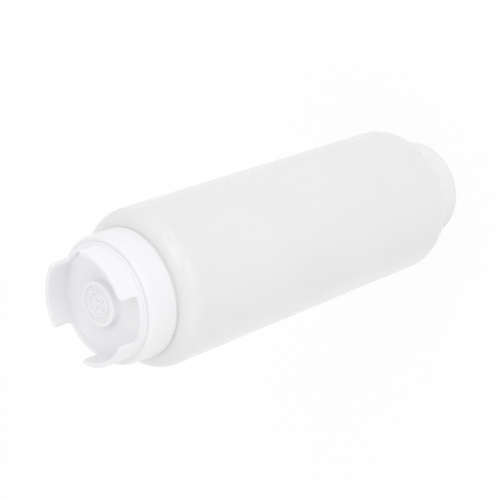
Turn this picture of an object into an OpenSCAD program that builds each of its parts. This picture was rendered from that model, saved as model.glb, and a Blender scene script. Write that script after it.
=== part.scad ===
// Two-ended squeeze bottle for sauces. It stands on its flat refill cap, with
// the three-footed flip cover of the dispensing cap on top. Units: millimetres.

/* [Bottle] */
// Outside diameter of the barrel
body_d = 73; // [66:1:90]
// Length of the straight barrel
body_len = 165; // [110:1:220]
// Wall of the barrel and shoulders
body_wall = 1.2; // [0.8:0.1:2]
// Radius of the shoulder at the dispensing end
front_round = 8.6; // [6:0.1:10]
// Radius of the shoulder at the refill end
rear_round = 12.8; // [8:0.1:13]
// Wall of both necks
neck_wall = 1.6; // [1.2:0.1:2.2]

/* [Dispensing neck] */
// Outside diameter of the dispensing neck, without its thread
front_neck_d = 50.4; // [46:0.2:52]
// Height of the dispensing neck
front_neck_len = 9.8; // [9.6:0.1:13]

/* [Refill neck] */
// Outside diameter of the refill neck, without its thread
rear_neck_d = 42.4; // [38:0.2:44]
// Height of the refill neck
rear_neck_len = 14.4; // [10:0.1:16]

/* [Threads] */
// Rise of the screw threads in one turn
pitch = 4; // [3.6:0.1:4.2]
// Turns of each thread, which is also how far a cap turns before it lets go
thread_turns = 1.25; // [1:0.05:1.25]
// How far a thread stands out of its wall
thread_depth = 1.3; // [1:0.1:1.5]
// Axial width of a thread at its root
thread_root = 1.8; // [1.4:0.1:2]
// Axial width of a thread at its crest
thread_crest = 0.8; // [0.6:0.1:1]

/* [Caps] */
// Wall of both caps' skirts
cap_wall = 2; // [1.6:0.1:2.6]
// Thickness of the flat plate that closes each cap
cap_plate = 1.7; // [1.2:0.1:2.4]
// How much wider the dispensing cap's skirt is at its open end, on the radius
skirt_draft = 0.7; // [0:0.1:1.2]
// Gap between a cap's open end and the bottle's shoulder
skirt_gap = 0.8; // [0.4:0.1:2]
// Thickness of the sealing rings
gasket_t = 1.3; // [0.8:0.1:2]
// Rounding of the dispensing cap's upper edge
cap_round = 2; // [1:0.1:2.2]
// Rounding of the refill cap's lower edge
refill_round = 1.5; // [0.6:0.1:2]

/* [Flip cover] */
// Height of the three feet above the collar
foot_h = 9.4; // [5:0.1:16]
// Wall of the feet and collar
foot_wall = 2.1; // [1.6:0.1:3]
// Width of each notch between two feet
notch_w = 20.8; // [12:0.2:24]
// Rounding of the feet's corners
foot_round = 1.6; // [0.8:0.1:3]
// Height of the collar above the cover's deck
collar_h = 1.3; // [0.6:0.1:4]
// Thickness of the cover's deck
deck_t = 1.3; // [1:0.1:2]
// Depth that the cover sinks into the dispensing cap
seat_depth = 2.1; // [1.6:0.1:3]
// Diameter of the round boss in the middle
boss_d = 20.8; // [19.6:0.2:24]
// Height of the boss above the deck
boss_h = 3.4; // [3:0.1:5]
// Diameter of the raised ring on the boss
ring_d = 12.2; // [9:0.2:13]
// Depth of the recess on the boss
boss_recess = 1; // [0.5:0.1:1.2]

/* [Hinge] */
// Distance of the hinge axis from the dispensing cap's side
hinge_out = 2.2; // [1.8:0.1:3]
// Depth of the hinge axis below the dispensing cap's rim
hinge_drop = 1.3; // [1:0.1:2]
// Diameter of the hinge pins
pin_d = 2.6; // [2:0.1:3]
// Radius of the knuckle round the pins
knuckle_r = 2.2; // [1.9:0.1:2.4]
// Width of the knuckle between the ears
knuckle_w = 11.8; // [8:0.2:14]
// Thickness of each ear
ear_t = 2.8; // [2:0.1:4]
// Radius of each ear's round end
ear_r = 2.7; // [2.4:0.1:3.2]

/* [Valve] */
// Diameter of the valve's flange
valve_d = 14.6; // [13.6:0.1:15]
// Thickness of the valve's flange
flange_t = 1.3; // [0.8:0.1:1.4]
// Diameter of the valve's cupped head
valve_head_d = 10.4; // [8:0.2:10.6]
// Depth of the cupped head below its flange
valve_depth = 2.6; // [1.6:0.1:2.7]
// Wall of the cupped head
valve_wall = 0.9; // [0.6:0.1:1.1]
// Length of each slit through the head
slit_len = 6.4; // [4:0.2:7]
// Width of each slit
slit_w = 0.3; // [0.2:0.05:0.5]
// Height of the ring that holds the valve down
retainer_h = 1.4; // [1:0.1:1.6]

/* [Clearances] */
// Gap between the two threads' crests and the walls that they face
thread_gap = 0.5; // [0.4:0.05:0.7]
// Gap between a tightened cap's thread and the neck's thread, along the axis
flank_gap = 0.3; // [0.25:0.05:0.5]
// Radial gap of the hinge pins in their ears
pin_gap = 0.05; // [0.02:0.01:0.1]
// Gap between parts that move past each other
move_gap = 0.3; // [0.25:0.05:0.5]
// Gap on each side of a sealing ring
seal_gap = 0.05; // [0.02:0.01:0.1]

/* [Hidden] */
$fn = 96;
eps = 0.01;
far = 20;

// Heights, from the surface that the bottle stands on
z_rear_lip = cap_plate + gasket_t + 2 * seal_gap;
z_rear_shoulder = z_rear_lip + rear_neck_len;
z_barrel_low = z_rear_shoulder + rear_round;
z_barrel_high = z_barrel_low + body_len;
z_front_shoulder = z_barrel_high + front_round;
z_front_lip = z_front_shoulder + front_neck_len;
z_plate_low = z_front_lip + gasket_t + 2 * seal_gap;
z_plate_high = z_plate_low + cap_plate;
z_rim = z_plate_high + seat_depth;
z_deck = z_rim + deck_t;
z_collar = z_deck + collar_h;
z_feet = z_collar + foot_h;
z_skirt = z_front_shoulder + skirt_gap;
z_refill_skirt = z_rear_shoulder - skirt_gap;
z_boss = z_deck + boss_h;

// Radii
body_r = body_d / 2;
front_r = front_neck_d / 2;
rear_r = rear_neck_d / 2;
front_cap_in = front_r + thread_depth + thread_gap;
front_cap_r = front_cap_in + cap_wall;
rear_cap_in = rear_r + thread_depth + thread_gap;
rear_cap_r = rear_cap_in + cap_wall;
rim_in = front_cap_r - cap_round - move_gap;
cover_r = rim_in - 2 * move_gap;
cover_in = cover_r - foot_wall;
boss_r = boss_d / 2;
feet_at = [90, 210, 330];

// Threads
thread_step = 12.5;
thread_bury = 0.5;
thread_fade = 45;
mid_width = (thread_root + thread_crest) / 2;
thread_shift = mid_width + flank_gap;
front_thread_z = z_skirt + thread_shift + thread_root / 2 + 2 * seal_gap;
rear_thread_z = z_rear_lip + thread_root / 2 + 1;

// Valve seat, from its ledge up
tower_wall = 1.3;
valve_fit = 0.2;
tower_in = valve_d / 2 + valve_fit;
tower_r = tower_in + tower_wall;
ceiling_t = 1.1;
z_boss_ceiling = z_boss - boss_recess - ceiling_t;
z_tower = z_boss_ceiling - 2 * move_gap;
z_ledge = z_tower - retainer_h - flange_t - 3 * seal_gap;
ledge_in = valve_head_d / 2 + 0.5;
boss_wall = 1.2;
boss_in = boss_r - boss_wall;
plug_wall = 0.9;
plug_r = ledge_in - 0.6;
retainer_in = plug_r + 2 * move_gap;
z_plug = z_ledge + flange_t + seal_gap + 1.5 * move_gap;

// Hinge
hinge_y = front_cap_r + hinge_out;
hinge_z = z_rim - hinge_drop;
ear_x = knuckle_w / 2 + move_gap;
ear_foot_z = z_skirt + 4;

// A solid of revolution with a rounded edge at each end
module round_ended(r, low, high, low_round, high_round) {
    rotate_extrude() {
        intersection() {
            union() {
                translate([0, low + low_round]) square([r, high - low - low_round - high_round]);
                translate([0, low]) square([r - low_round, low_round + eps]);
                translate([0, high - high_round - eps]) square([r - high_round, high_round + eps]);
                translate([r - low_round, low + low_round]) circle(low_round);
                translate([r - high_round, high - high_round]) circle(high_round);
            }
            translate([0, low - far]) square([r + far, high - low + 2 * far]);
        }
    }
}

// A flat ring
module ring(outer, inner, low, high) {
    difference() {
        translate([0, 0, low]) cylinder(r = outer, h = high - low);
        translate([0, 0, low - 1]) cylinder(r = inner, h = high - low + 2);
    }
}

// How much of a thread stands out at an angle along it: none at either end
function thread_out(angle) =
    min(1, angle / thread_fade, (thread_turns * 360 - angle) / thread_fade);

// Section of a thread at an angle: inner low, outer low, outer high, inner high
function thread_ring(angle, z, wall_r, outside) =
    let (
        crest_r = wall_r + (outside ? 1 : -1) * thread_depth * max(0, thread_out(angle)),
        root_r = wall_r + (outside ? -1 : 1) * thread_bury,
        in_r = min(crest_r, root_r),
        out_r = max(crest_r, root_r),
        in_w = (outside ? thread_root : thread_crest) / 2,
        out_w = (outside ? thread_crest : thread_root) / 2,
        mid = z + pitch * angle / 360
    )
    [
        [in_r * cos(angle), in_r * sin(angle), mid - in_w],
        [out_r * cos(angle), out_r * sin(angle), mid - out_w],
        [out_r * cos(angle), out_r * sin(angle), mid + out_w],
        [in_r * cos(angle), in_r * sin(angle), mid + in_w]
    ];

// A right-hand thread round a wall, outside or inside it
module thread(z, wall_r, outside) {
    count = round(thread_turns * 360 / thread_step);
    points = [for (i = [0:count]) each thread_ring(i * thread_turns * 360 / count, z, wall_r, outside)];
    sides = [
        for (i = [0:count - 1])
            for (k = [0:3])
                let (a = 4 * i + k, b = 4 * i + (k + 1) % 4)
                    each [[a, b, b + 4], [a, b + 4, a + 4]]
    ];
    start = [[3, 2, 1], [3, 1, 0]];
    end = [for (face = [[0, 1, 2], [0, 2, 3]]) [for (k = face) k + 4 * count]];
    polyhedron(points, concat(sides, start, end));
}

module bottle_body() {
    color([0.86, 0.88, 0.9, 0.75]) difference() {
        union() {
            round_ended(body_r, z_rear_shoulder, z_front_shoulder, rear_round, front_round);
            translate([0, 0, z_rear_lip]) cylinder(r = rear_r, h = rear_neck_len + rear_round);
            translate([0, 0, z_barrel_high]) cylinder(r = front_r, h = front_round + front_neck_len);
            thread(front_thread_z, front_r, true);
            thread(rear_thread_z, rear_r, true);
        }
        round_ended(body_r - body_wall, z_rear_shoulder + body_wall, z_front_shoulder - body_wall,
            rear_round - body_wall, front_round - body_wall);
        translate([0, 0, z_rear_lip - 1]) cylinder(r = rear_r - neck_wall, h = rear_neck_len + far);
        translate([0, 0, z_front_shoulder - far])
            cylinder(r = front_r - neck_wall, h = front_neck_len + far + 1);
    }
}

// One hinge ear's side view, from the skirt out to the axis
module ear_outline() {
    foot = [front_cap_r + skirt_draft / 2, ear_foot_z];
    reach = [hinge_y - foot.x, hinge_z - foot.y];
    along = atan2(reach.y, reach.x) - asin(ear_r / norm(reach));
    length = sqrt(norm(reach) ^ 2 - ear_r ^ 2);
    inside = front_cap_in + cap_wall / 2;
    translate([hinge_y, hinge_z]) circle(ear_r);
    polygon([
        [inside, ear_foot_z],
        foot,
        foot + length * [cos(along), sin(along)],
        [hinge_y, hinge_z],
        [hinge_y, hinge_z + ear_r],
        [inside + cap_wall / 2, hinge_z + ear_r - cap_round],
        [inside, hinge_z]
    ]);
}

module ears() {
    for (side = [-1, 1])
        translate([side * (ear_x + ear_t / 2) - ear_t / 2, 0, 0])
            rotate([90, 0, 90]) linear_extrude(ear_t) ear_outline();
}

module dispensing_cap() {
    shoulder_z = z_rim - cap_round;
    color([0.95, 0.95, 0.97]) difference() {
        union() {
            rotate_extrude() difference() {
                union() {
                    polygon([
                        [0, z_skirt],
                        [front_cap_r + skirt_draft, z_skirt],
                        [front_cap_r, shoulder_z],
                        [0, shoulder_z]
                    ]);
                    translate([0, shoulder_z - eps]) square([front_cap_r - cap_round, cap_round + eps]);
                    intersection() {
                        translate([front_cap_r - cap_round, shoulder_z]) circle(cap_round);
                        translate([0, shoulder_z - eps]) square([front_cap_r + far, far]);
                    }
                }
                translate([0, z_skirt - 1]) square([front_cap_in, z_plate_low - z_skirt + 1]);
                translate([0, z_plate_high]) square([rim_in, far]);
            }
            translate([0, 0, z_plate_low]) cylinder(r = tower_r, h = z_tower - z_plate_low);
            thread(front_thread_z - thread_shift, front_cap_in, false);
            ears();
        }
        translate([0, 0, z_ledge]) cylinder(r = tower_in, h = far);
        translate([0, 0, z_plate_low - 1]) cylinder(r = ledge_in, h = far);
        // Room for the knuckle and its arm
        translate([-ear_x, hinge_y, hinge_z]) rotate([0, 90, 0])
            cylinder(r = knuckle_r + move_gap, h = 2 * ear_x);
        translate([-ear_x, cover_r - 1, z_plate_high]) cube([2 * ear_x, far, far]);
        // Pin holes
        translate([-ear_x - ear_t - 1, hinge_y, hinge_z]) rotate([0, 90, 0])
            cylinder(r = pin_d / 2 + pin_gap, h = 2 * (ear_x + ear_t + 1));
    }
}

module dispensing_gasket() {
    color("whitesmoke")
        ring(front_cap_in - move_gap, front_r - neck_wall, z_front_lip + seal_gap, z_plate_low - seal_gap);
}

module valve() {
    head_r = valve_head_d / 2;
    ball_r = (head_r ^ 2 + valve_depth ^ 2) / (2 * valve_depth);
    z_flange = z_ledge + seal_gap;
    z_ball = z_flange - valve_depth + ball_r;
    color("gainsboro") difference() {
        union() {
            ring(valve_d / 2, head_r - valve_wall, z_flange, z_flange + flange_t);
            rotate_extrude() intersection() {
                translate([0, z_ball]) difference() {
                    circle(ball_r);
                    circle(ball_r - valve_wall);
                }
                translate([0, z_flange - far]) square([head_r, far + flange_t / 2]);
            }
        }
        for (turn = [45, 135])
            translate([0, 0, z_flange - valve_depth]) rotate([0, 0, turn])
                cube([slit_len, slit_w, 3 * valve_wall], center = true);
    }
}

module valve_retainer() {
    low = z_ledge + flange_t + 2 * seal_gap;
    color("white") ring(tower_in - seal_gap, retainer_in, low, low + retainer_h);
}

// Side view of the gap between two feet: rounded above and below
module notch_outline() {
    half = notch_w / 2;
    translate([-half + foot_round, 0]) square([notch_w - 2 * foot_round, foot_h + 1]);
    translate([-half, foot_round]) square([notch_w, foot_h + 1 - foot_round]);
    for (side = [-1, 1]) {
        translate([side * (half - foot_round), foot_round]) circle(foot_round);
        difference() {
            translate([side * half - foot_round, foot_h - foot_round]) square([2 * foot_round, foot_round + 1]);
            translate([side * (half + foot_round), foot_h - foot_round]) circle(foot_round);
        }
    }
}

module boss() {
    edge = 0.8;
    floor_z = z_boss - boss_recess;
    rib = 1;
    recess_r = boss_r - 2;
    difference() {
        round_ended(boss_r, z_rim, z_boss, 0.1, edge);
        translate([0, 0, floor_z]) cylinder(r = recess_r, h = far);
    }
    ring(ring_d / 2, ring_d / 2 - rib, floor_z - eps, z_boss - boss_recess / 4);
    intersection() {
        translate([0, 0, floor_z - eps]) cylinder(r = ring_d / 2 - rib / 2, h = boss_recess / 2);
        for (turn = [45, 135])
            translate([0, 0, floor_z]) rotate([0, 0, turn]) cube([ring_d, rib, boss_recess], center = true);
    }
}

module hinge_arm() {
    half = knuckle_w / 2;
    translate([-half, hinge_y, hinge_z]) rotate([0, 90, 0]) cylinder(r = knuckle_r, h = knuckle_w);
    translate([-half - ear_t, hinge_y, hinge_z]) rotate([0, 90, 0])
        cylinder(r = pin_d / 2, h = knuckle_w + 2 * ear_t);
    translate([-half, cover_in + foot_wall / 2, z_plate_high + move_gap])
        cube([knuckle_w, hinge_y - cover_in - foot_wall / 2, hinge_z + knuckle_r - z_plate_high - move_gap]);
}

module flip_cover() {
    snap_r = 0.3;
    color([0.97, 0.97, 0.99]) difference() {
        union() {
            // Turned, so that the wall's seam lies in the middle of a foot
            rotate([0, 0, feet_at[0]]) ring(cover_r, cover_in, z_plate_high + move_gap, z_feet);
            translate([0, 0, z_plate_high + move_gap + 2 * snap_r]) rotate_extrude()
                translate([cover_r, 0]) circle(snap_r);
            translate([0, 0, z_rim]) cylinder(r = cover_in + eps, h = deck_t);
            boss();
            hinge_arm();
        }
        difference() {
            translate([0, 0, z_rim - 1]) cylinder(r = boss_in, h = z_boss_ceiling - z_rim + 1);
            ring(plug_r, plug_r - plug_wall, z_plug, z_boss_ceiling + 1);
        }
        for (foot = feet_at)
            rotate([0, 0, foot + 60]) translate([boss_r + 1, 0, z_collar])
                rotate([90, 0, 90]) linear_extrude(cover_r) notch_outline();
    }
}

module refill_cap() {
    color([0.92, 0.93, 0.95, 0.85]) {
        difference() {
            round_ended(rear_cap_r, 0, z_refill_skirt, refill_round, 0.4);
            translate([0, 0, cap_plate]) cylinder(r = rear_cap_in, h = far);
        }
        thread(rear_thread_z + thread_shift, rear_cap_in, false);
    }
}

module refill_gasket() {
    color("whitesmoke") ring(rear_cap_in - move_gap, rear_r - neck_wall, cap_plate + seal_gap, z_rear_lip - seal_gap);
}

bottle_body();
dispensing_cap();
dispensing_gasket();
valve();
valve_retainer();
flip_cover();
refill_cap();
refill_gasket();
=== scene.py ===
import math

import bmesh
import bpy
import numpy as np
from mathutils import Matrix, Vector


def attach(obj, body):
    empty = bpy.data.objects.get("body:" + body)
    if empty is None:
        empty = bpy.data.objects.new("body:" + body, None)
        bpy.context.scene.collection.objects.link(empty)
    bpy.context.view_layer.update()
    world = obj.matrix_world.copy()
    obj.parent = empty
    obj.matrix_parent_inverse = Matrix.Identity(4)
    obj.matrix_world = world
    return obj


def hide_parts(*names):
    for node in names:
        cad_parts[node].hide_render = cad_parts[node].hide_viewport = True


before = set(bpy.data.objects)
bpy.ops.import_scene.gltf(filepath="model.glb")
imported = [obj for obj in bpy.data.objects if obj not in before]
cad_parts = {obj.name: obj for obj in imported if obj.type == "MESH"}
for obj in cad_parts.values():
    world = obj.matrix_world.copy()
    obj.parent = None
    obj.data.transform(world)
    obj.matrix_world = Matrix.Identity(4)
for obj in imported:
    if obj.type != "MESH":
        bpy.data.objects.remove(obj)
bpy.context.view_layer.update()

# Sizes, in millimetres. A name that ends in Z is a height above the face that the bottle stands on.
MM = 0.001
SIDES = 192
SMALL_SIDES = 96
PLAY = 0.05

BODY_R = 36.5
BODY_WALL = 1.2
FRONT_ROUND = 8.6
REAR_ROUND = 12.8
NECK_WALL = 1.6
FRONT_NECK_R = 25.2
REAR_NECK_R = 21.2
REAR_LIP_Z = 3.1
REAR_SHOULDER_Z = 17.5
BARREL_LOW_Z = REAR_SHOULDER_Z + REAR_ROUND
BARREL_HIGH_Z = 195.3
FRONT_SHOULDER_Z = BARREL_HIGH_Z + FRONT_ROUND
FRONT_LIP_Z = 213.7
NECK_FILLET = 0.8
LIP_ROUND = 0.4
BEAD_R = 29.3
BEAD_Z = 204.5
BEAD_EDGE = 0.2

PITCH = 4.0
THREAD_TURNS = 1.25
THREAD_DEPTH = 1.3
THREAD_ROOT = 1.8
THREAD_CREST = 0.8
THREAD_BURY = 0.5
THREAD_SHIFT = (THREAD_ROOT + THREAD_CREST) / 2 + 0.3
THREAD_STEPS = 120
FRONT_THREAD_Z = 207.3
REAR_THREAD_Z = 5.0

CAP_IN_R = 27.0
CAP_R = 29.0
CAP_DRAFT = 0.7
CAP_ROUND = 2.0
SKIRT_Z = 204.7
PLATE_LOW_Z = 215.1
PLATE_Z = 216.8
RIM_Z = 218.9
RIM_IN_R = 26.7
RIM_EDGE = 0.12
CAP_EDGE = 0.35

TOWER_R = 8.8
TOWER_IN_R = 7.5
TOWER_IN_EDGE = 0.2
TOWER_Z = 220.9
SEAT_Z = 218.05
SEAT_IN_R = 5.7

VALVE_R = 7.3
VALVE_T = 1.3
VALVE_EDGE = 0.1
VALVE_HEAD_R = 5.2
VALVE_DEPTH = 2.6
VALVE_WALL = 0.9
SLIT_REACH = 3.2
SLIT_RISE = 1.4
SLIT_W = 0.3
RETAINER_Z = SEAT_Z + VALVE_T + 2 * PLAY
RETAINER_T = 1.4
RETAINER_EDGE = 0.2

COVER_R = 26.1
COVER_IN_R = 24.0
COVER_LOW_Z = 217.1
COVER_EDGE = 0.2
LEDGE_OUT = 0.85
LEDGE_BEND = 1.2
LEDGE_LOW_Z = RIM_Z + 0.03
DECK_Z = 220.2
COLLAR_Z = 221.5
FEET_Z = 230.9
NOTCH_W = 20.8
FOOT_ROUND = 1.6
EDGE = 0.5
SNAP_R = 0.3
SNAP_SINK = 0.05
DECK_EDGE = 0.3
DECK_BURY = 0.7
BOSS_R = 10.4
BOSS_IN_R = 9.2
BOSS_RIM_W = 2.0
BOSS_ROUND = 0.8
BOSS_FILLET = 0.5
BOSS_Z = 223.6
BOSS_FLOOR_Z = BOSS_Z - 1.0
BOSS_CEILING_Z = BOSS_Z - 2.1
RING_R = 6.1
RING_W = 1.0
RING_Z = BOSS_Z - 0.25
CROSS_R = RING_R - 0.6
CROSS_W = 1.0
CROSS_Z = BOSS_Z - 0.5
CROSS_LOW_Z = BOSS_Z - 1.3
PLUG_R = 5.1
PLUG_WALL = 0.9
PLUG_EDGE = 0.2
PLUG_LOW_Z = 219.85

HINGE_Y = 31.2
HINGE_Z = 217.6
KNUCKLE_R = 2.2
KNUCKLE_W = 11.8
KNUCKLE_EDGE = 0.3
PIN_R = 1.3
PIN_EDGE = 0.15
EAR_R = 2.7
EAR_T = 2.8
EAR_LOW_Z = SKIRT_Z + 4
GAP = 0.3

REFILL_R = 25.0
REFILL_IN_R = 23.0
REFILL_ROUND = 1.5
REFILL_EDGE = 0.3
REFILL_Z = 16.7
REFILL_PLATE_Z = 1.7

SEAL_EDGE = 0.3
CROSS_TURNS = (45, 135)
NOTCH_TURNS = (30, 150, 270)
SHARP_ANGLE = 32

# The photograph's view: where it is aimed, in metres, from where, and how far it is turned, in degrees
AIM = Vector((-0.00025, -0.00013, 0.12909))
VIEW_AZIMUTH = 28.756
VIEW_ELEVATION = 42.619
VIEW_DISTANCE = 0.7015
VIEW_ROLL = 109.873
LENS = 107.35
SENSOR = 36.0

# The lamps' aim in metres, the share of the floor's whiteness that is its own, and the level of the light
# from all sides
LAMP_AIM = Vector((0, 0, 0.13))
FLOOR_SIZE = 6
FLOOR_GLOW = 0.9
SKY = 0.905


def make_camera():
    azimuth, elevation, roll = map(math.radians, (VIEW_AZIMUTH, VIEW_ELEVATION, VIEW_ROLL))
    back = Vector((math.cos(elevation) * math.sin(azimuth), -math.cos(elevation) * math.cos(azimuth),
                   math.sin(elevation)))
    level_right = Vector((0, 0, 1)).cross(back).normalized()
    level_up = back.cross(level_right)
    up = level_up * math.cos(roll) + level_right * math.sin(roll)
    right = up.cross(back)
    data = bpy.data.cameras.new("camera")
    data.lens = LENS
    data.sensor_width = SENSOR
    data.clip_start = 0.01
    camera = bpy.data.objects.new("camera", data)
    turn = Matrix((right, up, back)).transposed().to_4x4()
    camera.matrix_world = Matrix.Translation(AIM + back * VIEW_DISTANCE) @ turn
    bpy.context.collection.objects.link(camera)
    bpy.context.scene.camera = camera


# Outlines, in millimetres: distance from the axis, and height

def arc(centre, radius, start, end, steps=8):
    """Points on an arc between two angles in degrees."""
    return [(centre[0] + radius * math.cos(a), centre[1] + radius * math.sin(a))
            for a in np.radians(np.linspace(start, end, steps + 1))]


def flat_ring(outer, inner, low, high, edge):
    """The section of a flat ring with rounded edges."""
    return (
        arc((outer - edge, low + edge), edge, -90, 0, 4)
        + arc((outer - edge, high - edge), edge, 0, 90, 4)
        + arc((inner + edge, high - edge), edge, 90, 180, 4)
        + arc((inner + edge, low + edge), edge, 180, 270, 4)
    )


# Meshes

def new_object(name, mesh):
    obj = bpy.data.objects.new(name, mesh)
    bpy.context.collection.objects.link(obj)
    return obj


def to_object(name, work):
    """A work mesh, drawn in millimetres, as an object in metres with its faces outwards."""
    bmesh.ops.remove_doubles(work, verts=work.verts, dist=1e-4)
    bmesh.ops.dissolve_degenerate(work, edges=work.edges, dist=1e-5)
    bmesh.ops.recalc_face_normals(work, faces=work.faces)
    bmesh.ops.scale(work, vec=(MM,) * 3, verts=work.verts)
    mesh = bpy.data.meshes.new(name)
    work.to_mesh(mesh)
    work.free()
    return new_object(name, mesh)


def loop_faces(work, loops, around=True):
    """Faces between each loop of points and the next; a loop of one point closes to a tip."""
    pairs = list(zip(loops, loops[1:] + loops[:1])) if around else list(zip(loops, loops[1:]))
    for low, high in pairs:
        count = max(len(low), len(high))
        for i in range(count):
            j = (i + 1) % count
            corners = [low[i % len(low)], low[j % len(low)], high[j % len(high)], high[i % len(high)]]
            corners = list(dict.fromkeys(corners))
            if len(corners) > 2:
                work.faces.new(corners)


def turned(name, outline, sides=SIDES, closed=True):
    """A solid turned round the axis. The outline is a closed loop, or runs from the axis back to it."""
    work = bmesh.new()
    angles = [2 * math.pi * i / sides for i in range(sides)]
    loops = []
    for r, z in outline:
        around = angles if r > 1e-6 else angles[:1]
        loops.append([work.verts.new((r * math.cos(a), r * math.sin(a), z)) for a in around])
    loop_faces(work, loops, closed)
    return to_object(name, work)


def prism(name, outline, left, right):
    """A prism along X from an outline of depth and height."""
    work = bmesh.new()
    ends = [[work.verts.new((x, y, z)) for y, z in outline] for x in (left, right)]
    loop_faces(work, ends, False)
    for end in ends:
        work.faces.new(end)
    return to_object(name, work)


def rod(name, radius, left, right, y, z):
    """A rod along X with a small chamfer at each end."""
    sides = 48
    around = arc((0, 0), radius, 0, 360 - 360 / sides, sides - 1)
    return rounded(prism(name, [(y + a, z + b) for a, b in around], left, right), PIN_EDGE, 2, 60)


def applied(obj):
    """The object with its modifiers made part of its mesh."""
    made = bpy.data.meshes.new_from_object(obj.evaluated_get(bpy.context.evaluated_depsgraph_get()))
    obj.modifiers.clear()
    obj.data = made
    return obj


def rounded(obj, width, segments=3, angle=40):
    """The object with the edges that turn by more than an angle, in degrees, bevelled."""
    bevel = obj.modifiers.new("edges", "BEVEL")
    bevel.width = width * MM
    bevel.segments = segments
    bevel.limit_method = "ANGLE"
    bevel.angle_limit = math.radians(angle)
    return applied(obj)


def combined(obj, tool, how):
    """One solid joined to another or cut by it; the tool is used up."""
    boolean = obj.modifiers.new("shape", "BOOLEAN")
    boolean.operation = how
    boolean.solver = "MANIFOLD"
    boolean.object = tool
    applied(obj)
    bpy.data.objects.remove(tool)
    return obj


# Geometry Nodes: the screw threads

class Tree:
    """A Geometry Nodes tree with named inputs, which nodes are added to one line at a time."""

    def __init__(self, name, inputs):
        self.group = bpy.data.node_groups.new(name, "GeometryNodeTree")
        self.keys = {}
        for label, value in inputs.items():
            kind = "NodeSocketInt" if isinstance(value, int) else "NodeSocketFloat"
            socket = self.group.interface.new_socket(label, in_out="INPUT", socket_type=kind)
            socket.default_value = value
            self.keys[label] = socket.identifier
        self.group.interface.new_socket("Geometry", in_out="OUTPUT", socket_type="NodeSocketGeometry")
        self.start = self.group.nodes.new("NodeGroupInput")
        self.end = self.group.nodes.new("NodeGroupOutput")

    def given(self, label):
        return self.start.outputs[label]

    def add(self, kind, settings=None, out=0, **values):
        """A node's output, with the node's settings and its sockets' values; i0 is its first socket."""
        node = self.group.nodes.new(kind)
        for key, value in (settings or {}).items():
            setattr(node, key, value)
        for key, value in values.items():
            place = int(key[1:]) if key[0] == "i" and key[1:].isdigit() else key.replace("_", " ")
            if isinstance(value, bpy.types.NodeSocket):
                self.group.links.new(value, node.inputs[place])
            else:
                node.inputs[place].default_value = value
        return node.outputs[out]

    def sum(self, operation, a, b=0.0):
        return self.add("ShaderNodeMath", {"operation": operation}, i0=a, i1=b)

    def finish(self, geometry, material):
        real = self.add("GeometryNodeRealizeInstances", Geometry=geometry)
        done = self.add("GeometryNodeSetMaterial", Geometry=real, Material=material)
        self.group.links.new(done, self.end.inputs[0])

    def grow(self, name, **inputs):
        """A plain mesh object that the tree makes."""
        obj = new_object(name, bpy.data.meshes.new(name))
        modifier = obj.modifiers.new("nodes", "NODES")
        modifier.node_group = self.group
        for label, value in inputs.items():
            modifier[self.keys[label.replace("_", " ")]] = value
        obj.update_tag()
        return applied(obj)


def thread_tree(material):
    """The four rails of a right-hand ridge round a wall, which fades into it at both ends.

    Side is 1 outside a wall and -1 inside it."""
    tree = Tree("thread", {"Radius": FRONT_NECK_R * MM, "Turns": THREAD_TURNS, "Pitch": PITCH * MM,
                           "Depth": THREAD_DEPTH * MM, "Bury": THREAD_BURY * MM, "Root": THREAD_ROOT * MM,
                           "Crest": THREAD_CREST * MM, "Side": 1.0, "Height": 0.0, "Steps": THREAD_STEPS})
    line = tree.add("GeometryNodeMeshLine", {"mode": "OFFSET"}, Count=tree.given("Steps"))
    last = tree.sum("SUBTRACT", tree.given("Steps"), 1.0)
    along = tree.sum("DIVIDE", tree.add("GeometryNodeInputIndex"), last)
    edge = tree.sum("MINIMUM", along, tree.sum("SUBTRACT", 1.0, along))
    eighths = tree.sum("MULTIPLY", tree.given("Turns"), 8.0)
    fade = tree.sum("MINIMUM", 1.0, tree.sum("MULTIPLY", edge, eighths))
    angle = tree.sum("MULTIPLY", along, tree.sum("MULTIPLY", tree.given("Turns"), 2 * math.pi))
    rise = tree.sum("MULTIPLY", along, tree.sum("MULTIPLY", tree.given("Turns"), tree.given("Pitch")))
    rails = []
    for inner, up in ((True, -1), (False, -1), (False, 1), (True, 1)):
        if inner:
            reach = tree.sum("MULTIPLY", tree.given("Bury"), -1.0)
        else:
            reach = tree.sum("MULTIPLY", tree.given("Depth"), fade)
        radius = tree.sum("ADD", tree.given("Radius"), tree.sum("MULTIPLY", reach, tree.given("Side")))
        width = tree.given("Root") if inner else tree.given("Crest")
        z = tree.sum("ADD", tree.sum("ADD", tree.given("Height"), rise), tree.sum("MULTIPLY", width, up / 2))
        place = tree.add("ShaderNodeCombineXYZ", X=tree.sum("MULTIPLY", radius, tree.sum("COSINE", angle)),
                         Y=tree.sum("MULTIPLY", radius, tree.sum("SINE", angle)), Z=z)
        rails.append(tree.add("GeometryNodeSetPosition", Geometry=line, Position=place))
    joined = tree.group.nodes.new("GeometryNodeJoinGeometry")
    for rail in rails:
        tree.group.links.new(rail, joined.inputs[0])
    tree.finish(joined.outputs[0], material)
    return tree


def make_thread(tree, name, radius, side, height):
    """The ridge's four rails, closed into a solid."""
    steps = THREAD_STEPS
    rails = tree.grow(name, Radius=radius * MM, Side=float(side), Height=height * MM)
    points = [v.co / MM for v in rails.data.vertices]
    bpy.data.objects.remove(rails)
    work = bmesh.new()
    verts = [work.verts.new(p) for p in points]
    loops = [[verts[k * steps + i] for k in range(4)] for i in range(steps)]
    loop_faces(work, loops, False)
    work.faces.new(loops[0])
    work.faces.new(loops[-1])
    return to_object(name, work)


# Materials

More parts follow.
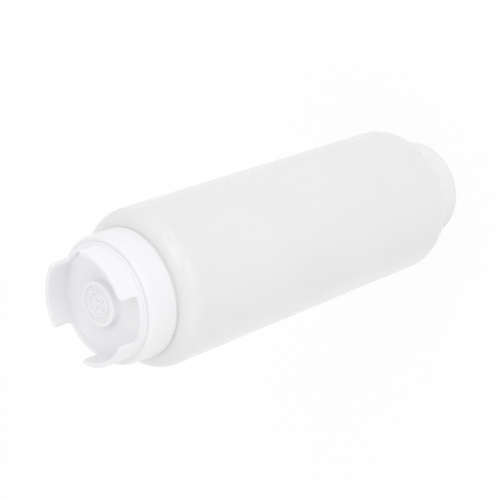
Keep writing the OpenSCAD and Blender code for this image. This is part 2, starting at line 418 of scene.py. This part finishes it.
class Value:
    """A shader socket that sums can be written with."""

    def __init__(self, shader, socket):
        self.shader = shader
        self.socket = socket

    def _with(self, operation, a, b=0.0):
        return self.shader.add("ShaderNodeMath", {"operation": operation}, i0=a, i1=b)

    def __add__(self, other): return self._with("ADD", self, other)
    def __radd__(self, other): return self._with("ADD", other, self)
    def __mul__(self, other): return self._with("MULTIPLY", self, other)
    def __rmul__(self, other): return self._with("MULTIPLY", other, self)
    def __abs__(self): return self._with("ABSOLUTE", self)

    def below(self, edge, soft):
        """1 where the value is under an edge, falling to 0 over a soft step."""
        return self.shader.add("ShaderNodeMapRange", {"interpolation_type": "SMOOTHSTEP"}, Value=self,
                               From_Min=edge, From_Max=edge + soft, To_Min=1.0, To_Max=0.0)


class Shader:
    """A material whose nodes are added one line at a time.

    Its patterns lie on Object coordinates, in metres."""

    def __init__(self, name, **surface):
        self.material = bpy.data.materials.new(name)
        self.material.use_nodes = True
        self.tree = self.material.node_tree
        self.surface = self.tree.nodes["Principled BSDF"]
        self.set(**surface)
        self.place = self.add("ShaderNodeTexCoord", out="Object")
        split = self.tree.nodes.new("ShaderNodeSeparateXYZ")
        self.tree.links.new(self.place.socket, split.inputs[0])
        self.y = Value(self, split.outputs["Y"])

    def fill(self, socket, value):
        if isinstance(value, Value):
            self.tree.links.new(value.socket, socket)
        else:
            socket.default_value = value

    def set(self, **values):
        for key, value in values.items():
            self.fill(self.surface.inputs[key.replace("_", " ")], value)

    def add(self, kind, settings=None, out=0, **values):
        """A node's output, with the node's settings and its sockets' values; i0 is its first socket."""
        node = self.tree.nodes.new(kind)
        for key, value in (settings or {}).items():
            setattr(node, key, value)
        for key, value in values.items():
            place = int(key[1:]) if key[0] == "i" and key[1:].isdigit() else key.replace("_", " ")
            self.fill(node.inputs[place], value)
        return Value(self, node.outputs[out])

    def noise(self, size, detail=3.0, rough=0.5, stretch=(1, 1, 1)):
        """Noise with features of about that size in metres, from 0 to 1."""
        place = self.add("ShaderNodeVectorMath", {"operation": "MULTIPLY"}, i0=self.place, i1=stretch)
        return self.add("ShaderNodeTexNoise", out="Fac", Vector=place, Scale=1 / size, Detail=detail,
                        Roughness=rough)

    def mix(self, amount, a, b):
        return self.add("ShaderNodeMix", {"data_type": "RGBA"}, out=2, i0=amount, i6=a, i7=b)

    def range(self, value, low, high, to_low, to_high):
        return self.add("ShaderNodeMapRange", Value=value, From_Min=low, From_Max=high, To_Min=to_low,
                        To_Max=to_high)

    def bump(self, height, distance):
        """Height in units of distance, in metres."""
        self.set(Normal=self.add("ShaderNodeBump", Height=height, Distance=distance, Strength=1.0))


def tint(r, g, b):
    return (r, g, b, 1.0)


def bottle_material():
    """Natural soft polyethylene: milky, faintly patchy, with drawing lines and a parting line."""
    s = Shader("soft_bottle", IOR=1.51, Coat_Weight=0.8, Coat_Roughness=0.06, Subsurface_Weight=0.2,
               Subsurface_Radius=(1.0, 1.0, 1.0), Subsurface_Scale=0.002)
    patches = s.range(s.noise(0.045, 2.0), 0.3, 0.7, 0.0, 1.0)
    cloud = s.range(s.noise(0.018, 3.0, 0.55, (1, 1, 0.35)), 0.25, 0.75, 0.0, 1.0)
    base = s.mix(patches, tint(0.755, 0.761, 0.765), tint(0.785, 0.782, 0.777))
    base = s.mix(cloud * 0.5, base, tint(0.80, 0.80, 0.797))
    s.set(Base_Color=base)
    s.set(Roughness=s.range(s.noise(0.006, 4.0), 0.2, 0.8, 0.34, 0.44))
    skin = s.noise(0.0011, 2.0)
    drawn = s.noise(0.0035, 2.0, 0.5, (1, 1, 0.04))
    parting = abs(s.y).below(0.00012, 0.00025)
    s.bump(skin * 0.35 + drawn * 0.5 + parting * 1.2, 0.00006)
    return s.material


def cap_material():
    """White moulded polypropylene with a fine spark-eroded skin."""
    s = Shader("white_cap", IOR=1.49, Subsurface_Weight=0.15, Subsurface_Radius=(1.0, 1.0, 1.0),
               Subsurface_Scale=0.0015)
    flow = s.range(s.noise(0.014, 3.0), 0.25, 0.75, 0.0, 1.0)
    base = s.mix(flow, tint(0.84, 0.838, 0.852), tint(0.858, 0.855, 0.866))
    s.set(Base_Color=base)
    s.set(Roughness=s.range(s.noise(0.004, 4.0), 0.2, 0.8, 0.26, 0.36))
    s.bump(s.noise(0.0005, 2.0) * 0.4 + s.noise(0.006, 1.0) * 0.8, 0.00003)
    return s.material


def refill_material():
    """Natural moulded plastic, a shade greyer and more see-through than the white caps."""
    s = Shader("refill_plastic", IOR=1.5, Subsurface_Weight=0.2, Subsurface_Radius=(1.0, 1.0, 1.0),
               Subsurface_Scale=0.002)
    flow = s.range(s.noise(0.012, 3.0), 0.25, 0.75, 0.0, 1.0)
    s.set(Base_Color=s.mix(flow, tint(0.835, 0.835, 0.835), tint(0.865, 0.865, 0.86)))
    s.set(Roughness=s.range(s.noise(0.004, 4.0), 0.2, 0.8, 0.34, 0.46))
    s.bump(s.noise(0.0006, 2.0) * 0.6 + s.noise(0.005, 1.0) * 0.6, 0.00004)
    return s.material


def seal_material():
    """Pale rubber with a dusty skin."""
    s = Shader("seal", IOR=1.5)
    dust = s.range(s.noise(0.003, 4.0), 0.3, 0.7, 0.0, 1.0)
    s.set(Base_Color=s.mix(dust, tint(0.76, 0.76, 0.745), tint(0.82, 0.82, 0.81)))
    s.set(Roughness=s.range(s.noise(0.002, 3.0), 0.2, 0.8, 0.6, 0.75))
    s.bump(s.noise(0.0004, 3.0), 0.00003)
    return s.material


def silicone_material():
    """Clear silicone with a soft sheen."""
    s = Shader("silicone", IOR=1.43, Subsurface_Weight=0.4, Subsurface_Radius=(1.0, 1.0, 1.0),
               Subsurface_Scale=0.002)
    haze = s.range(s.noise(0.004, 3.0), 0.3, 0.7, 0.0, 1.0)
    s.set(Base_Color=s.mix(haze, tint(0.74, 0.76, 0.79), tint(0.80, 0.81, 0.83)))
    s.set(Roughness=s.range(s.noise(0.0015, 3.0), 0.2, 0.8, 0.3, 0.45))
    s.bump(s.noise(0.0005, 2.0), 0.00002)
    return s.material


# The pieces

def bottle_outline():
    """Section of the hollow bottle, from the refill lip up the outside and back down the inside."""
    low, high = BARREL_LOW_Z, BARREL_HIGH_Z
    rear_in, front_in = REAR_NECK_R - NECK_WALL, FRONT_NECK_R - NECK_WALL
    fillet, lip, bead = NECK_FILLET, LIP_ROUND, BEAD_EDGE
    rear_flat, front_flat = BODY_R - REAR_ROUND, BODY_R - FRONT_ROUND
    shoulder_end = math.degrees(math.acos((BEAD_R - front_flat) / FRONT_ROUND))
    outside = (
        arc((rear_in + lip, REAR_LIP_Z + lip), lip, 180, 270, 4)
        + arc((REAR_NECK_R - lip, REAR_LIP_Z + lip), lip, -90, 0, 4)
        + arc((REAR_NECK_R + fillet, REAR_SHOULDER_Z - fillet), fillet, 180, 90, 5)
        + arc((rear_flat, low), REAR_ROUND, -90, 0, 32)
        + [(BODY_R, z) for z in np.linspace(low, high, 25)[1:-1]]
        + arc((front_flat, high), FRONT_ROUND, 0, shoulder_end, 28)
        + arc((BEAD_R - bead, BEAD_Z - bead), bead, 0, 90, 3)
        + arc((FRONT_NECK_R + fillet, BEAD_Z + fillet), fillet, 270, 180, 5)
        + arc((FRONT_NECK_R - lip, FRONT_LIP_Z - lip), lip, 0, 90, 4)
    )
    inside = (
        arc((front_in + lip, FRONT_LIP_Z - lip), lip, 90, 180, 4)
        + arc((front_in + fillet, FRONT_SHOULDER_Z - BODY_WALL + fillet), fillet, 180, 270, 5)
        + arc((front_flat, high), FRONT_ROUND - BODY_WALL, 90, 0, 24)
        + arc((rear_flat, low), REAR_ROUND - BODY_WALL, 0, -90, 24)
        + arc((rear_in + fillet, REAR_SHOULDER_Z + BODY_WALL - fillet), fillet, 90, 180, 5)
    )
    return outside + inside


def make_bottle(threads):
    bottle = turned("bottle", bottle_outline())
    combined(bottle, make_thread(threads, "front_ridge", FRONT_NECK_R, 1, FRONT_THREAD_Z), "UNION")
    combined(bottle, make_thread(threads, "rear_ridge", REAR_NECK_R, 1, REAR_THREAD_Z), "UNION")
    return bottle


def cap_outline():
    """Section of the dispensing cap, from its skirt's foot up the outside, over rim and seat, and back."""
    shoulder = RIM_Z - CAP_ROUND
    soft, rim, tower = CAP_EDGE, RIM_EDGE, TOWER_IN_EDGE
    return (
        arc((CAP_IN_R + soft, SKIRT_Z + soft), soft, 180, 270, 4)
        + arc((CAP_R + CAP_DRAFT - soft, SKIRT_Z + soft), soft, -90, 0, 4)
        + arc((CAP_R - CAP_ROUND, shoulder), CAP_ROUND, 0, 86, 12)
        + arc((RIM_IN_R + rim, RIM_Z - rim), rim, 90, 180, 3)
        + arc((RIM_IN_R - soft, PLATE_Z + soft), soft, 0, -90, 4)
        + arc((TOWER_R + soft, PLATE_Z + soft), soft, 270, 180, 4)
        + arc((TOWER_R - soft, TOWER_Z - soft), soft, 0, 90, 4)
        + arc((TOWER_IN_R + tower, TOWER_Z - tower), tower, 90, 180, 3)
        + [(TOWER_IN_R, SEAT_Z), (SEAT_IN_R, SEAT_Z), (SEAT_IN_R, PLATE_LOW_Z)]
        + arc((CAP_IN_R - soft, PLATE_LOW_Z - soft), soft, 90, 0, 4)
    )


def ear_outline():
    """Side view of a hinge ear, from the skirt out round the hinge's axis."""
    foot = Vector((CAP_R + CAP_DRAFT / 2, EAR_LOW_Z))
    reach = Vector((HINGE_Y, HINGE_Z)) - foot
    start = math.degrees(math.atan2(reach.y, reach.x)) - math.degrees(math.asin(EAR_R / reach.length)) - 90
    inside = (CAP_IN_R + CAP_R) / 2
    return ([(inside, foot.y), tuple(foot)] + arc((HINGE_Y, HINGE_Z), EAR_R, start, 90, 20)
            + [(CAP_R, HINGE_Z + EAR_R - CAP_ROUND), (inside, HINGE_Z)])


def make_cap(threads):
    """The screw cap with its two ears, and the room between them for the cover's arm and pins."""
    ear_x = KNUCKLE_W / 2 + GAP
    past_x = ear_x + EAR_T + 1
    past_y = HINGE_Y + 10
    cap = turned("cap", cap_outline())
    for left in (-ear_x - EAR_T, ear_x):
        combined(cap, rounded(prism("ear", ear_outline(), left, left + EAR_T), CAP_EDGE), "UNION")
    combined(cap, make_thread(threads, "cap_ridge", CAP_IN_R, -1, FRONT_THREAD_Z - THREAD_SHIFT), "UNION")
    slot = [(COVER_R - 1, PLATE_Z), (past_y, PLATE_Z), (past_y, FEET_Z), (COVER_R - 1, FEET_Z)]
    combined(cap, prism("slot", slot, -ear_x, ear_x), "DIFFERENCE")
    combined(cap, rod("relief", KNUCKLE_R + GAP, -ear_x, ear_x, HINGE_Y, HINGE_Z), "DIFFERENCE")
    combined(cap, rod("pin_hole", PIN_R + PLAY, -past_x, past_x, HINGE_Y, HINGE_Z), "DIFFERENCE")
    return cap


def foot_section(height, inset, low):
    """Section of the collar or a foot, with the snap skirt and ledge below and a rounded top at a height.

    Low sections, in a notch, round their top with the points that round a foot's upright corner elsewhere."""
    foot = COVER_LOW_Z
    soft = COVER_EDGE
    base = height - EDGE if low else COLLAR_Z + FOOT_ROUND - EDGE
    reach = EDGE if low else inset
    walls = [(reach * (1 - math.cos(a)), base + EDGE * math.sin(a)) for a in np.radians((0, 30, 60, 90))]
    top = height - EDGE
    inner = [(COVER_IN_R + soft, foot), (COVER_IN_R, foot + soft), (COVER_IN_R, COLLAR_Z - EDGE)]
    inner += [(COVER_IN_R + i, z) for i, z in walls]
    outer = [(COVER_R - i, z) for i, z in reversed(walls)]
    steps = 5
    if low:
        inner += [inner[-1]] * (steps + 1)
        outer = [outer[0]] * (steps + 1) + outer
    else:
        inner += arc((COVER_IN_R + inset + EDGE, top), EDGE, 180, 90, steps)
        outer = arc((COVER_R - inset - EDGE, top), EDGE, 90, 0, steps) + outer
    outer += [(COVER_R, COLLAR_Z - EDGE)]
    outer += arc((COVER_R + LEDGE_OUT - LEDGE_BEND, LEDGE_LOW_Z), LEDGE_BEND, 73, 0, 8)
    outer += [(COVER_R, LEDGE_LOW_Z)]
    outer += arc((COVER_R - SNAP_SINK, foot + 2 * SNAP_R), SNAP_R, 80, -80, 6)
    outer += [(COVER_R, foot + soft), (COVER_R - soft, foot)]
    return inner + outer


def foot_steps():
    """Sections from the middle of a notch to the middle of a foot: angle, hold of the notch's flat side,
    height, inset and whether it is low. The hold fades over 10 degrees."""
    middle = (COVER_R + COVER_IN_R) / 2
    edge = math.degrees(math.asin(NOTCH_W / 2 / middle))
    span = math.degrees(FOOT_ROUND / middle)

    def rounding(radius, x):
        return radius - math.sqrt(max(0.0, radius ** 2 - x ** 2))

    steps = [(a, COLLAR_Z, 0.0, True) for a in np.linspace(0, edge - span, 18)[:-1]]
    for x in np.linspace(-FOOT_ROUND, 0, 9):
        rise = rounding(FOOT_ROUND, x + FOOT_ROUND)
        steps.append((edge + math.degrees(x / middle), COLLAR_Z + rise, 0.0, True))
    for x in FOOT_ROUND * np.linspace(0, 1, 13) ** 1.5:
        fall = rounding(FOOT_ROUND, FOOT_ROUND - x)
        inset = rounding(EDGE, max(0.0, EDGE - x))
        steps.append((edge + math.degrees(x / middle), FEET_Z - fall, inset, False))
    steps += [(a, FEET_Z, 0.0, False) for a in np.linspace(edge + span, 60, 30)[1:]]
    return [(a, min(1.0, max(0.0, 1 - (abs(a - edge) - span) / 10)), *rest) for a, *rest in steps], edge


def make_foot_ring():
    """Collar and feet: one band round the axis whose upper edge rises into three feet."""
    half, edge = foot_steps()
    mirrored = [(120 - a, *rest) for a, *rest in reversed(half[:-1])][:-1]
    work = bmesh.new()
    loops = []
    for notch in NOTCH_TURNS:
        for a, hold, height, inset, low in half + mirrored:
            loop = []
            for r, z in foot_section(height, inset, low):
                shift = hold * (math.degrees(math.asin(NOTCH_W / 2 / r)) - edge)
                angle = math.radians(notch + (a + shift if a <= 60 else a - shift))
                loop.append(work.verts.new((r * math.cos(angle), r * math.sin(angle), z)))
            loops.append(loop)
    loop_faces(work, loops)
    return to_object("foot_ring", work)


def deck_outline():
    """Section of the cover's deck and hollow boss, from the axis out over the top and back underneath."""
    floor, ceiling = BOSS_FLOOR_Z, BOSS_CEILING_Z
    soft, plug_edge, plug_in = DECK_EDGE, PLUG_EDGE, PLUG_R - PLUG_WALL
    rim_in = BOSS_R - BOSS_RIM_W
    bend_z = DECK_Z + 0.6
    outer = COVER_IN_R + DECK_BURY
    return (
        [(0, floor)]
        + arc((RING_R - RING_W - soft, floor + soft), soft, -90, 0, 3)
        + arc((RING_R - RING_W + soft, RING_Z - soft), soft, 180, 90, 3)
        + arc((RING_R - soft, RING_Z - soft), soft, 90, 0, 3)
        + arc((RING_R + soft, floor + soft), soft, 180, 270, 3)
        + arc((rim_in - soft, floor + soft), soft, -90, 0, 3)
        + arc((rim_in + soft, BOSS_Z - soft), soft, 180, 90, 3)
        + arc((BOSS_R - BOSS_ROUND, BOSS_Z - BOSS_ROUND), BOSS_ROUND, 90, 0, 8)
        + arc((BOSS_R + BOSS_FILLET, DECK_Z + BOSS_FILLET), BOSS_FILLET, 180, 270, 5)
        + arc((COVER_IN_R - 0.55, bend_z), 0.6, -90, 0, 6)
        + [(outer, bend_z), (outer, RIM_Z), (BOSS_IN_R + soft, RIM_Z), (BOSS_IN_R, RIM_Z + soft)]
        + arc((BOSS_IN_R - soft, ceiling - soft), soft, 0, 90, 3)
        + [(PLUG_R, ceiling), (PLUG_R, PLUG_LOW_Z + plug_edge), (PLUG_R - plug_edge, PLUG_LOW_Z)]
        + [(plug_in + plug_edge, PLUG_LOW_Z), (plug_in, PLUG_LOW_Z + plug_edge), (plug_in, ceiling)]
        + [(0, ceiling)]
    )


def make_cover():
    """Feet, deck and boss with the cross on it, and the hinge's arm and pins."""
    cover = make_foot_ring()
    cover.name = "cover"
    combined(cover, turned("deck", deck_outline(), closed=False), "UNION")
    bar = [(-CROSS_R, CROSS_LOW_Z), (CROSS_R, CROSS_LOW_Z), (CROSS_R, CROSS_Z), (-CROSS_R, CROSS_Z)]
    for turn in CROSS_TURNS:
        rib = rounded(prism("rib", bar, -CROSS_W / 2, CROSS_W / 2), 0.15, 2)
        rib.data.transform(Matrix.Rotation(math.radians(turn), 4, "Z"))
        combined(cover, rib, "UNION")
    reach = math.degrees(math.asin((HINGE_Z - COVER_LOW_Z) / KNUCKLE_R))
    arm = ([(COVER_R - 1, COVER_LOW_Z)] + arc((HINGE_Y, HINGE_Z), KNUCKLE_R, 180 + reach, 450, 28)
           + [(COVER_R - 1, HINGE_Z + KNUCKLE_R)])
    combined(cover, rounded(prism("arm", arm, -KNUCKLE_W / 2, KNUCKLE_W / 2), KNUCKLE_EDGE), "UNION")
    pin_x = KNUCKLE_W / 2 + EAR_T
    combined(cover, rod("pins", PIN_R, -pin_x, pin_x, HINGE_Y, HINGE_Z), "UNION")
    return cover


def make_refill_cap(threads):
    """The smooth screw cap that the bottle stands on."""
    soft = REFILL_EDGE
    outline = (
        [(0, 0)]
        + arc((REFILL_R - REFILL_ROUND, REFILL_ROUND), REFILL_ROUND, -90, 0, 12)
        + [(REFILL_R, z) for z in np.linspace(REFILL_ROUND, REFILL_Z - soft, 8)[1:-1]]
        + arc((REFILL_R - soft, REFILL_Z - soft), soft, 0, 90, 4)
        + arc((REFILL_IN_R + soft, REFILL_Z - soft), soft, 90, 180, 4)
        + arc((REFILL_IN_R - soft, REFILL_PLATE_Z + soft), soft, 0, -90, 4)
        + [(0, REFILL_PLATE_Z)]
    )
    cap = turned("refill_screw_cap", outline, closed=False)
    ridge_z = REAR_THREAD_Z + THREAD_SHIFT
    combined(cap, make_thread(threads, "refill_ridge", REFILL_IN_R, -1, ridge_z), "UNION")
    return cap


def make_valve():
    """Flange, cupped head and the two slits that cross in it."""
    ball = (VALVE_HEAD_R ** 2 + VALVE_DEPTH ** 2) / (2 * VALVE_DEPTH)
    head_in, ball_in = VALVE_HEAD_R - VALVE_WALL, ball - VALVE_WALL
    low, high, edge = SEAT_Z + PLAY, SEAT_Z + PLAY + VALVE_T, VALVE_EDGE
    tip = low - VALVE_DEPTH
    rim = math.degrees(math.asin(VALVE_HEAD_R / ball))
    inner_rim = math.degrees(math.asin(head_in / ball_in))
    outline = (
        arc((0, tip + ball), ball, -90, rim - 90, 16)
        + [(VALVE_R - edge, low), (VALVE_R, low + edge), (VALVE_R, high - edge), (VALVE_R - edge, high)]
        + [(head_in + edge, high), (head_in, high - edge)]
        + arc((0, tip + ball), ball_in, inner_rim - 90, -90, 14)
    )
    valve = turned("valve_head", outline, SMALL_SIDES, closed=False)
    left, right, bottom, top = -SLIT_REACH, SLIT_REACH, tip - SLIT_RISE, tip + SLIT_RISE
    cut = [(left, bottom), (right, bottom), (right, top), (left, top)]
    for turn in CROSS_TURNS:
        slit = prism("slit", cut, -SLIT_W / 2, SLIT_W / 2)
        slit.data.transform(Matrix.Rotation(math.radians(turn), 4, "Z"))
        combined(valve, slit, "DIFFERENCE")
    return valve


def make_retainer():
    """The ring that holds the valve's flange down on its seat."""
    low, high = RETAINER_Z, RETAINER_Z + RETAINER_T
    return turned("retainer", flat_ring(TOWER_IN_R - PLAY, SEAT_IN_R, low, high, RETAINER_EDGE), SMALL_SIDES)


def make_gasket(name, cap_in_r, neck_r, low, high):
    """The flat seal between a cap's plate and a neck's lip."""
    return turned(name, flat_ring(cap_in_r - GAP, neck_r - NECK_WALL, low + PLAY, high - PLAY, SEAL_EDGE))


def dress(obj, node, body, material):
    """The finished piece in place of its node."""
    mesh = obj.data
    mesh.materials.clear()
    mesh.materials.append(material)
    for face in mesh.polygons:
        face.material_index = 0
        face.use_smooth = True
    mesh.set_sharp_from_angle(angle=math.radians(SHARP_ANGLE))
    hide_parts(node)
    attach(obj, body)


# Light, floor and backdrop

def seen_directly(nodes, links):
    """1 for rays from the camera, mirror-like reflections and clear refraction, otherwise 0."""
    path = nodes.new("ShaderNodeLightPath")
    either = nodes.new("ShaderNodeMath")
    either.operation = "MAXIMUM"
    links.new(path.outputs["Is Camera Ray"], either.inputs[0])
    links.new(path.outputs["Is Glossy Ray"], either.inputs[1])
    every = nodes.new("ShaderNodeMath")
    every.operation = "MAXIMUM"
    links.new(either.outputs[0], every.inputs[0])
    links.new(path.outputs["Is Transmission Ray"], every.inputs[1])
    return every


def make_floor():
    """A pale floor that shows white to the camera and keeps the object's soft shadow."""
    bpy.ops.mesh.primitive_plane_add(size=FLOOR_SIZE)
    floor = bpy.context.object
    floor.name = "floor"
    material = bpy.data.materials.new("floor")
    material.use_nodes = True
    nodes, links = material.node_tree.nodes, material.node_tree.links
    nodes.clear()
    out = nodes.new("ShaderNodeOutputMaterial")
    paint = nodes.new("ShaderNodeBsdfDiffuse")
    paint.inputs["Color"].default_value = tint(0.95, 0.95, 0.95)
    glow = nodes.new("ShaderNodeEmission")
    glow.inputs["Color"].default_value = tint(1, 1, 1)
    share = nodes.new("ShaderNodeMath")
    share.operation = "MULTIPLY"
    share.inputs[1].default_value = FLOOR_GLOW
    mix = nodes.new("ShaderNodeMixShader")
    links.new(seen_directly(nodes, links).outputs[0], share.inputs[0])
    links.new(share.outputs[0], mix.inputs[0])
    links.new(paint.outputs[0], mix.inputs[1])
    links.new(glow.outputs[0], mix.inputs[2])
    links.new(mix.outputs[0], out.inputs[0])
    floor.data.materials.append(material)


def make_world():
    world = bpy.data.worlds.new("studio")
    bpy.context.scene.world = world
    world.use_nodes = True
    nodes, links = world.node_tree.nodes, world.node_tree.links
    nodes.clear()
    out = nodes.new("ShaderNodeOutputWorld")
    seen = nodes.new("ShaderNodeBackground")
    seen.inputs["Strength"].default_value = 1.0
    seen.inputs["Color"].default_value = tint(1, 1, 1)
    light = nodes.new("ShaderNodeBackground")
    light.inputs["Strength"].default_value = SKY
    light.inputs["Color"].default_value = tint(1.0, 1.0, 1.0)
    mix = nodes.new("ShaderNodeMixShader")
    links.new(seen_directly(nodes, links).outputs[0], mix.inputs[0])
    links.new(light.outputs[0], mix.inputs[1])
    links.new(seen.outputs[0], mix.inputs[2])
    links.new(mix.outputs[0], out.inputs[0])


def soft_box(name, place, width, height, power, colour=(1, 1, 1)):
    """A rectangular lamp at a place, in metres, aimed at the bottle's middle."""
    data = bpy.data.lights.new(name, "AREA")
    data.color = colour
    data.shape = "RECTANGLE"
    data.size = width
    data.size_y = height
    data.energy = power
    lamp = bpy.data.objects.new(name, data)
    lamp.location = place
    lamp.rotation_mode = "QUATERNION"
    lamp.rotation_quaternion = (LAMP_AIM - Vector(place)).to_track_quat("-Z", "Y")
    bpy.context.collection.objects.link(lamp)


make_camera()
make_world()
make_floor()
soft_box("key", (1.2, -0.5, 1.3), 1.0, 1.0, 3.5, (0.95, 0.93, 1.0))
soft_box("spark", (0.907, -0.215, 0.131), 0.24, 0.03, 0.33)
soft_box("fill", (-0.8, -1.3, 0.9), 1.2, 1.2, 1.6)
soft_box("front", (0.75, -1.35, 0.25), 0.8, 0.8, 1.6)

natural = bottle_material()
white = cap_material()
refill = refill_material()
rubber = seal_material()
silicone = silicone_material()

threads = thread_tree(white)
dress(make_bottle(threads), "bottle_body", "bottle", natural)
dress(make_cap(threads), "dispensing_cap", "front_cap", white)
dress(make_cover(), "flip_cover", "cover", white)
dress(make_refill_cap(threads), "refill_cap", "rear_cap", refill)
dress(make_valve(), "valve", "front_cap", silicone)
dress(make_retainer(), "valve_retainer", "front_cap", white)
dress(make_gasket("front_gasket", CAP_IN_R, FRONT_NECK_R, FRONT_LIP_Z, PLATE_LOW_Z),
      "dispensing_gasket", "front_seal", rubber)
dress(make_gasket("rear_gasket", REFILL_IN_R, REAR_NECK_R, REFILL_PLATE_Z, REAR_LIP_Z),
      "refill_gasket", "rear_seal", rubber)

bpy.context.scene.view_settings.view_transform = "Standard"
